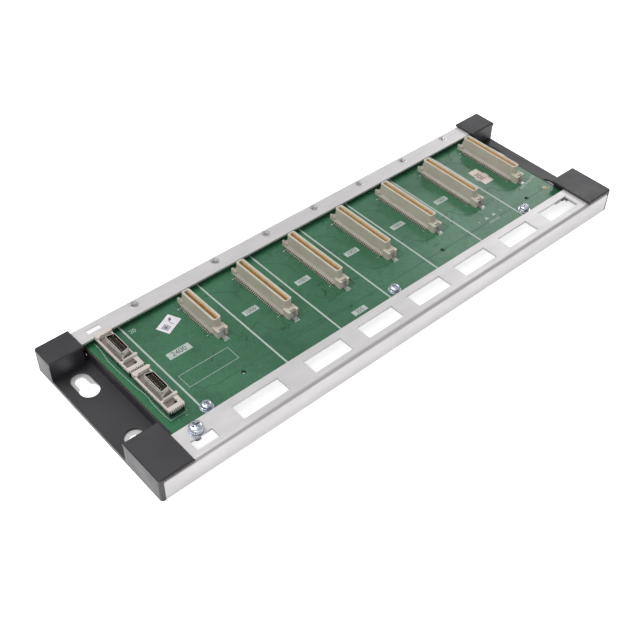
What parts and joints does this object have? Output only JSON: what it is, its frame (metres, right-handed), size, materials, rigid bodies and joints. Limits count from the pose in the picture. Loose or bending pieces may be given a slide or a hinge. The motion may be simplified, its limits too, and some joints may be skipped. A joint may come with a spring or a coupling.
{
  "type": "plc backplane",
  "caption": "Long rack backplane: folded sheet chassis with black end brackets, green circuit board, power and module edge connectors and cable ports.",
  "frame": {"origin": "on the mounting surface, under the middle of the footprint", "axes": "+X along the rack towards the last slot, +Y towards the edge with the module screws, +Z away from the panel"},
  "size_m": [0.3204, 0.1054, 0.019],
  "materials": {
    "aluminium_sheet": "satin, light grey",
    "black_plastic": "semi-matt moulding",
    "green_laminate": "green solder mask with white print",
    "ivory_plastic": "satin moulding",
    "gold_contact": "gold-plated blades",
    "tinned_metal": "tin-plated",
    "dark_plastic": "dark moulding",
    "beige_plastic": "satin moulding",
    "nickel_plate": "nickel-plated",
    "zinc_plate": "zinc-plated, bluish",
    "insert_steel": "plated steel",
    "label_paper": "matt print on white",
    "pink_label": "matt, pinkish"
  },
  "bodies": {
    "root": {"chassis": "aluminium_sheet", "end_bracket_left": "black_plastic", "end_bracket_right": "black_plastic", "circuit_board": "green_laminate", "power_connector_housing": "ivory_plastic", "power_connector_contacts": "gold_contact", "power_connector_clips": "tinned_metal", "slot_connector_0_housing": "ivory_plastic", "slot_connector_0_contacts": "gold_contact", "slot_connector_0_clips": "tinned_metal", "slot_connector_1_housing": "ivory_plastic", "slot_connector_1_contacts": "gold_contact", "slot_connector_1_clips": "tinned_metal", "slot_connector_2_housing": "ivory_plastic", "slot_connector_2_contacts": "gold_contact", "slot_connector_2_clips": "tinned_metal", "slot_connector_3_housing": "ivory_plastic", "slot_connector_3_contacts": "gold_contact", "slot_connector_3_clips": "tinned_metal", "slot_connector_4_housing": "ivory_plastic", "slot_connector_4_contacts": "gold_contact", "slot_connector_4_clips": "tinned_metal", "slot_connector_5_housing": "ivory_plastic", "slot_connector_5_contacts": "gold_contact", "slot_connector_5_clips": "tinned_metal", "cable_port_0_base": "dark_plastic", "cable_port_0_frame": "beige_plastic", "cable_port_0_shell": "nickel_plate", "cable_port_0_contacts": "gold_contact", "cable_port_1_base": "dark_plastic", "cable_port_1_frame": "beige_plastic", "cable_port_1_shell": "nickel_plate", "cable_port_1_contacts": "gold_contact", "board_screws": "zinc_plate", "board_screw_lock_washers": "zinc_plate", "board_screw_flat_washers": "zinc_plate", "ground_screw": "zinc_plate", "ground_lock_washer": "zinc_plate", "ground_flat_washer": "zinc_plate", "module_screw_inserts": "insert_steel", "check_label": "label_paper", "lot_label": "pink_label"}
  },
  "joints": []
}
